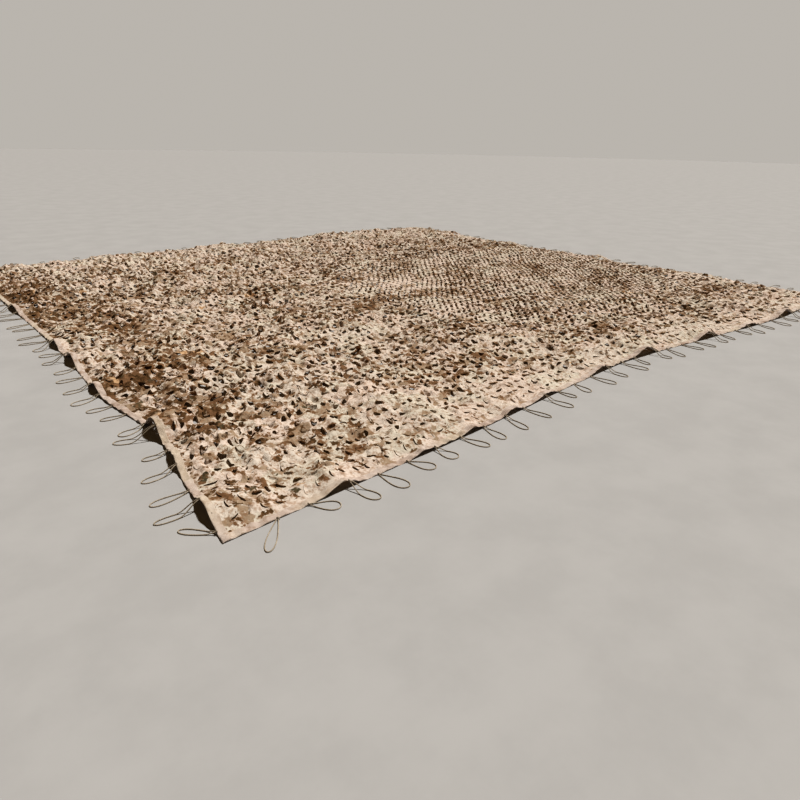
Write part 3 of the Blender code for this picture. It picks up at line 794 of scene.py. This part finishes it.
def loop_path(side, edge, along, loop):
    """A teardrop of cord: out from under the tape's nose, down to the ground and back."""
    step = np.linalg.norm(np.diff(edge, axis=0), axis=1)
    reached = np.concatenate(([0.0], np.cumsum(step)))
    where = np.interp(loop.at, reached, along)
    beside = np.array([where - ROOT_STEP, where, where + ROOT_STEP])
    ahead = tape_point(side, beside, ROOT_DEPTH, ROOT_RISE)
    heading = (ahead[2] - ahead[0])[:2]
    heading /= np.linalg.norm(heading)
    outwards = np.array((heading[1], -heading[0]))
    if side in ("back", "left"):
        outwards = -outwards
    root = ahead[1]
    root[2] = np.clip(root[2], CORD_RADIUS, ROOT_CEILING)
    axis = outwards * loop.reach + heading * loop.skew
    length = np.linalg.norm(axis)
    sideways = np.array((-axis[1], axis[0])) / length
    fall = FALL_LENGTH + FALL_PER_RISE * root[2]
    turn = np.linspace(LOOP_OPENING, 1.0 - LOOP_OPENING, LOOP_POINTS) * 2 * math.pi
    share = (1 - np.cos(turn)) / 2
    spread = SPREAD_SHARE * loop.width * np.sin(turn / 2) ** 2 + LEG_SPREAD
    spread = np.sin(turn) * spread
    plan = root[:2] + axis * share[:, None] + sideways * spread[:, None]
    hang = 0.5 + 0.5 * np.cos(math.pi * np.minimum(1.0, share * length / fall))
    z = CORD_RADIUS + (root[2] - CORD_RADIUS) * hang
    return np.concatenate((plan, z[:, None]), 1), root, outwards, heading


def build_loops(side, chance, material):
    """All the loops of one side, each with the small hitch that holds it to the tape."""
    edge, along = outer_line(side)
    length = np.linalg.norm(np.diff(edge, axis=0), axis=1).sum()
    points, quads, count = [], [], 0
    for loop in loops_of(side, length, chance):
        path, root, outwards, heading = loop_path(side, edge, along, loop)
        for part in (path, hitch_path(root, outwards, heading)):
            part_points, part_quads = sweep(part)
            points.append(part_points)
            quads.append(part_quads + count)
            count += len(part_points)
    return make_mesh(f"tie_loops_{side}", np.concatenate(points), np.concatenate(quads), material)


def hitch_path(root, outwards, heading):
    """A short turn of cord over the tape's nose, from its top down to its underside."""
    turn = np.radians(np.linspace(*HITCH_ARC_DEG, HITCH_POINTS))
    out = np.cos(turn) * HITCH_OUT[0] + HITCH_OUT[1]
    up = np.sin(turn) * HITCH_UP[0] + HITCH_UP[1]
    slant = np.linspace(-HITCH_SLANT, HITCH_SLANT, HITCH_POINTS)
    plan = root[:2] + outwards * out[:, None] + heading * slant[:, None]
    z = np.maximum(root[2] + up, CORD_RADIUS)
    return np.concatenate((plan, z[:, None]), 1)


# -------- materials
class Nodes:
    """Short calls for building the nodes of a material or of the world."""

    def __init__(self, owner, shader="Principled BSDF"):
        owner.use_nodes = True
        self.owner, self.tree = owner, owner.node_tree
        self.shader = self.tree.nodes[shader]

    def feed(self, socket, value):
        """Gives a socket its value: another node's output, or a plain number or colour."""
        if isinstance(value, bpy.types.NodeSocket):
            self.tree.links.new(value, socket)
        else:
            socket.default_value = value

    def add(self, kind, settings=(), **inputs):
        node = self.tree.nodes.new(kind)
        for key, value in dict(settings).items():
            setattr(node, key, value)
        for key, value in inputs.items():
            self.feed(node.inputs[key], value)
        return node

    def place(self):
        return self.add("ShaderNodeTexCoord").outputs["Object"]

    def noise(self, vector, scale, detail=2.0, roughness=0.5, output="Fac"):
        size = {"Scale": scale, "Detail": detail, "Roughness": roughness}
        return self.add("ShaderNodeTexNoise", Vector=vector, **size).outputs[output]

    def moved(self, vector, offset):
        node = self.add("ShaderNodeMapping", Vector=vector, Location=offset)
        return node.outputs["Vector"]

    def step(self, value, low, high):
        """0 below low and 1 over high, with a soft edge between them."""
        node = self.add("ShaderNodeMapRange", {"interpolation_type": "SMOOTHSTEP"}, Value=value)
        node.inputs["From Min"].default_value = low
        node.inputs["From Max"].default_value = high
        return node.outputs["Result"]

    def mix(self, share, first, second, blend="MIX"):
        node = self.add("ShaderNodeMix", {"data_type": "RGBA", "blend_type": blend})
        for number, value in ((0, share), (6, first), (7, second)):
            self.feed(node.inputs[number], value)
        return node.outputs[2]

    def tint_over(self, colour, value, low, high, share, tint):
        """A colour with some tint laid over it, the more the higher a value is."""
        where = self.math("MULTIPLY", self.step(value, low, high), share)
        return self.mix(where, colour, tint)

    def math(self, operation, first, second):
        node = self.add("ShaderNodeMath", {"operation": operation})
        for socket, value in zip(node.inputs, (first, second)):
            self.feed(socket, value)
        return node.outputs[0]

    def finish(self, colour, roughness, height, distance, strength):
        """The material, with its colour, its roughness and small dents of a height in metres."""
        self.tree.links.new(colour, self.shader.inputs["Base Color"])
        self.shader.inputs["Roughness"].default_value = roughness
        bump = self.add("ShaderNodeBump", Height=height, Distance=distance, Strength=strength)
        self.tree.links.new(bump.outputs["Normal"], self.shader.inputs["Normal"])
        return self.owner


def let_light_through(nodes, colour, share):
    """Cloth so thin that some of the light on its far side comes through, in warmer tones."""
    warmer = nodes.mix(1.0, colour, THROUGH, "MULTIPLY")
    through = nodes.add("ShaderNodeBsdfTranslucent", Color=warmer)
    both = nodes.add("ShaderNodeMixShader", Fac=share)
    nodes.tree.links.new(nodes.shader.outputs["BSDF"], both.inputs[1])
    nodes.tree.links.new(through.outputs["BSDF"], both.inputs[2])
    surface = nodes.tree.nodes["Material Output"].inputs["Surface"]
    nodes.tree.links.new(both.outputs["Shader"], surface)


def linear(red, green, blue):
    """A colour given as it looks on a screen, 0 to 255, as the shader wants it."""

    def one(value):
        value /= 255
        return value / 12.92 if value <= 0.04045 else ((value + 0.055) / 1.055) ** 2.4

    return (one(red), one(green), one(blue), 1.0)


SAND = linear(215, 206, 195)
PALE_SAND = linear(212, 205, 192)
ROSE_SAND = linear(217, 204, 193)
TAN = linear(168, 150, 130)
RUST = linear(124, 97, 72)
BROWN = linear(90, 69, 44)
OLIVE = linear(92, 84, 64)
ORANGE = linear(206, 176, 142)
THROUGH = (1.0, 0.72, 0.42, 1.0)

# The print, from its ground up: blots lie where a noise, with a share of the brown zones added,
# rises from low to high.
Blots = namedtuple("Blots", "colour offset scale low high zone")
PRINT = table(
    Blots,
    (ROSE_SAND, (0, 0, 0), 2.6, 0.42, 0.56, 0.0),
    (PALE_SAND, (3.1, 7.7, 1.2), 4.2, 0.52, 0.58, 0.0),
    (TAN, (11.3, 2.4, 4.0), 10.0, 0.55, 0.60, 0.40),
    (RUST, (17.9, 5.5, 8.0), 13.5, 0.59, 0.63, 0.50),
    (BROWN, (2.6, 13.7, 3.0), 17.0, 0.59, 0.63, 0.45),
    (OLIVE, (7.0, 21.0, 2.0), 8.5, 0.66, 0.69, 0.0),
    (ORANGE, (1.0, 3.0, 27.0), 3.4, 0.69, 0.71, 0.0),
)
# The brown zones: a broad noise less a base, with more brown along the left edge, most of all in
# its farther half, and less along the other three.
ZONE_OFFSET, ZONE_SCALE, ZONE_STRENGTH, ZONE_BASE = (14.1, 6.3, 7.0), 1.7, 0.66, 0.300
LEFT_BROWN, LEFT_FAR_BROWN = 0.10, 0.07
FRONT_PALE, BACK_PALE, RIGHT_PALE = 0.15, 0.13, 0.03


def brown_zones(nodes, place):
    """How much more brown print there is at a place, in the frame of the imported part."""
    zones = nodes.noise(nodes.moved(place, ZONE_OFFSET), ZONE_SCALE, 3.0)
    apart = nodes.add("ShaderNodeSeparateXYZ", Vector=place).outputs
    front = nodes.math("SUBTRACT", 1.0, nodes.step(apart["Y"], -3.2, -2.45))
    left = nodes.math("SUBTRACT", 1.0, nodes.step(apart["X"], -3.2, -2.4))
    left_far = nodes.math("MULTIPLY", nodes.step(apart["Y"], -0.8, 0.6), LEFT_FAR_BROWN)
    left_share = nodes.math("ADD", LEFT_BROWN, left_far)
    back, right = nodes.step(apart["Y"], 1.8, 3.0), nodes.step(apart["X"], 2.2, 3.2)
    leaning = nodes.math("SUBTRACT", nodes.math("MULTIPLY", left, left_share), ZONE_BASE)
    for strip, share in ((front, FRONT_PALE), (back, BACK_PALE), (right, RIGHT_PALE)):
        leaning = nodes.math("SUBTRACT", leaning, nodes.math("MULTIPLY", strip, share))
    return nodes.math("ADD", nodes.math("MULTIPLY", zones, ZONE_STRENGTH), leaning)


def camouflage_cloth():
    """Cloth printed in sand tones with small leafy blots of tan, rust, brown, olive and orange,
    and soiled with brown mottles that are partly painted shade of the crumpled cloth between its
    cuts."""
    nodes = Nodes(bpy.data.materials.new("camouflage_cloth"))
    place = nodes.place()
    warped = nodes.mix(0.05, place, nodes.noise(place, 13.0, 3.0, 0.65, "Color"), "ADD")
    browner, colour = brown_zones(nodes, place), SAND
    for blots in PRINT:
        value = nodes.noise(nodes.moved(warped, blots.offset), blots.scale, 3.0, 0.6)
        if blots.zone:
            value = nodes.math("ADD", value, nodes.math("MULTIPLY", browner, blots.zone))
        colour = nodes.mix(nodes.step(value, blots.low, blots.high), colour, blots.colour)
    # Two layers of brown mottles: partly soiling, partly painted shade of the crumpled strips
    # between the cuts.
    soil = nodes.noise(place, 42.0, 3.0, 0.65)
    colour = nodes.tint_over(colour, soil, 0.46, 0.66, 0.55, linear(158, 124, 94))
    dirt_and_painted_shade = nodes.noise(nodes.moved(place, (8, 3, 5)), 26.0, 4.0, 0.7)
    colour = nodes.tint_over(colour, dirt_and_painted_shade, 0.52, 0.66, 0.45, linear(132, 98, 68))
    fibre = nodes.noise(place, 620.0, 2.0, 0.6)
    crumple = nodes.noise(place, 85.0, 3.0, 0.55)
    dents = nodes.math("MULTIPLY", nodes.noise(nodes.moved(place, (4, 7, 2)), 34.0, 2.0), 1.6)
    height = nodes.math("ADD", nodes.math("MULTIPLY", fibre, 0.2), crumple)
    height = nodes.math("ADD", height, dents)
    nodes.shader.inputs["Specular IOR Level"].default_value = 0.2
    let_light_through(nodes, colour, 0.13)
    return nodes.finish(colour, 0.92, height, 0.0050, 0.8)


def beige_tape():
    """Plain twill tape, soiled and smudged, the smudges partly painted shade of its wrinkles, with
    broad paler patches.
    """
    nodes = Nodes(bpy.data.materials.new("beige_tape"))
    place = nodes.place()
    soil = nodes.step(nodes.noise(place, 7.0, 4.0, 0.6), 0.35, 0.70)
    colour = nodes.mix(soil, linear(198, 187, 179), linear(176, 160, 149))
    # Smudges: partly soiling, partly painted shade of the tape's wrinkles.
    smudge_and_painted_shade = nodes.noise(nodes.moved(place, (2, 6, 1)), 24.0, 4.0, 0.7)
    colour = nodes.tint_over(colour, smudge_and_painted_shade, 0.48, 0.66, 0.6, linear(142, 116, 94))
    patch = nodes.noise(nodes.moved(place, (4, 1, 9)), 2.2, 2.0)
    colour = nodes.tint_over(colour, patch, 0.50, 0.62, 0.5, linear(194, 184, 164))
    twill = nodes.add(
        "ShaderNodeTexWave",
        {"wave_type": "BANDS", "bands_direction": "DIAGONAL"},
        Vector=place,
        Scale=210.0,
        Distortion=0.6,
        Detail=1.0,
    ).outputs["Fac"]
    colour = nodes.mix(nodes.math("MULTIPLY", twill, 0.12), colour, linear(160, 136, 116))
    crumple = nodes.noise(place, 60.0, 3.0, 0.55)
    height = nodes.math("ADD", nodes.math("MULTIPLY", twill, 0.2), crumple)
    return nodes.finish(colour, 0.9, height, 0.0022, 0.8)


def tie_cord():
    """Braided cord in a dull sand colour, with painted shade darkening it between its strands."""
    nodes = Nodes(bpy.data.materials.new("tie_cord"))
    place = nodes.place()
    braid = nodes.add(
        "ShaderNodeTexVoronoi", {"feature": "F1"}, Vector=place, Scale=420.0
    ).outputs["Distance"]
    soil = nodes.noise(place, 14.0, 3.0, 0.6)
    colour = nodes.mix(nodes.step(soil, 0.35, 0.65), linear(194, 183, 166), linear(168, 157, 140))
    # Painted shade: darker between the strands, where the bump sinks.
    colour = nodes.mix(nodes.step(braid, 0.35, 0.75), colour, linear(132, 121, 106))
    return nodes.finish(colour, 0.85, nodes.math("SUBTRACT", 1.0, braid), 0.0008, 0.8)


# -------- stage, lights and camera
CAMERA_PLACE = (-4.408, -5.356, 1.5)
CAMERA_HEADING = (0.6620, 0.7495)
CAMERA_PITCH_DEG = 21.33
CAMERA_ROLL_DEG = 1.10
CAMERA_LENS_MM = 28.87
CAMERA_SHIFT_Y = -0.0156
CAMERA_SENSOR_MM = 36.0
CAMERA_CLIP = (0.05, 200.0)


def add_camera():
    heading = Vector((*CAMERA_HEADING, 0.0)).normalized()
    pitch, roll = math.radians(CAMERA_PITCH_DEG), math.radians(CAMERA_ROLL_DEG)
    forward = heading * math.cos(pitch) - Vector((0, 0, math.sin(pitch)))
    right = forward.cross(Vector((0, 0, 1))).normalized()
    up = right.cross(forward)
    rolled_right = right * math.cos(roll) + up * math.sin(roll)
    rolled_up = up * math.cos(roll) - right * math.sin(roll)
    data = bpy.data.cameras.new("camera")
    data.lens, data.sensor_width, data.shift_y = CAMERA_LENS_MM, CAMERA_SENSOR_MM, CAMERA_SHIFT_Y
    data.clip_start, data.clip_end = CAMERA_CLIP
    camera = new_object("camera", data)
    turn = Matrix((rolled_right, rolled_up, -forward)).transposed()
    camera.matrix_world = Matrix.Translation(CAMERA_PLACE) @ turn.to_4x4()
    bpy.context.scene.camera = camera


FLOOR_RINGS = (0.5, 6.0, 60.0)  # radii
FLOOR_SIDES = 96


def add_floor():
    """A plain pale studio floor."""
    angle = 2 * math.pi * np.arange(FLOOR_SIDES) / FLOOR_SIDES
    points = np.array(
        [(r * math.cos(a), r * math.sin(a), 0.0) for r in FLOOR_RINGS for a in angle]
    )
    numbers = np.arange(len(points)).reshape(len(FLOOR_RINGS), FLOOR_SIDES)
    quads = [grid_quads(closed(numbers))[:, ::-1]]
    half = FLOOR_SIDES // 2
    inner = numbers[0]
    quads.append(grid_quads(np.stack((inner[:half], inner[::-1][:half]))))
    nodes = Nodes(bpy.data.materials.new("studio_floor"))
    place = nodes.place()
    grain = nodes.noise(place, 3.0, 5.0, 0.6)
    colour = nodes.mix(nodes.step(grain, 0.3, 0.7), linear(164, 164, 164), linear(169, 169, 169))
    nodes.shader.inputs["Specular IOR Level"].default_value = 0.1
    material = nodes.finish(colour, 0.9, nodes.noise(place, 160.0, 2.0), 0.0004, 0.2)
    make_mesh("floor", points + CENTRE, np.concatenate(quads), material)


KEY_HEADING_DEG = 4.0  # where the key light comes from: the net's right, and a little its back
KEY_HEIGHT_DEG = 60.0
KEY_STRENGTH = 3.42
KEY_SIZE_DEG = 5.0
KEY_COLOUR = (1.0, 0.975, 0.94)
SKY = (0.067, 0.034, 0.001, 1.0)
BACKDROP = (0.390, 0.371, 0.346, 1.0)
BACKDROP_TOP, SKY_START = 0.295, 0.34  # sines of the two elevations


def add_lights():
    """A soft key light, and a world that is pale round the horizon and dim overhead."""
    data = bpy.data.lights.new("key", "SUN")
    data.energy, data.angle, data.color = KEY_STRENGTH, math.radians(KEY_SIZE_DEG), KEY_COLOUR
    key = new_object("key", data)
    heading, height = math.radians(KEY_HEADING_DEG), math.radians(KEY_HEIGHT_DEG)
    towards = Vector((math.cos(heading), math.sin(heading), math.tan(height)))
    key.location = towards * 10.0
    key.rotation_euler = towards.to_track_quat("Z", "Y").to_euler()

    world = bpy.data.worlds.new("world")
    nodes = Nodes(world, "Background")
    way = nodes.add("ShaderNodeTexCoord").outputs["Generated"]
    climb = nodes.add("ShaderNodeSeparateXYZ", Vector=way).outputs["Z"]
    colour = nodes.mix(nodes.step(climb, BACKDROP_TOP, SKY_START), BACKDROP, SKY)
    nodes.tree.links.new(colour, nodes.shader.inputs["Color"])
    bpy.context.scene.world = world
    bpy.context.scene.view_settings.view_transform = "Standard"
    bpy.context.scene.view_settings.look = "High Contrast"


# -------- the whole net
def main():
    add_camera()
    add_floor()
    add_lights()
    cloth_material, tape_material, cord_material = camouflage_cloth(), beige_tape(), tie_cord()

    for panel, width in build_cloth(cloth_material):
        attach(panel, "root")
        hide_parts("net")

    chance = random.Random(LOOP_SEED)
    for side in ("front", "right", "back", "left"):
        tape = build_binding(side, tape_material)
        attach(tape, "root")
        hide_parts(f"binding_{side}")
        loops = build_loops(side, chance, cord_material)
        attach(loops, "root")
        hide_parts(f"binding_{side}")


main()
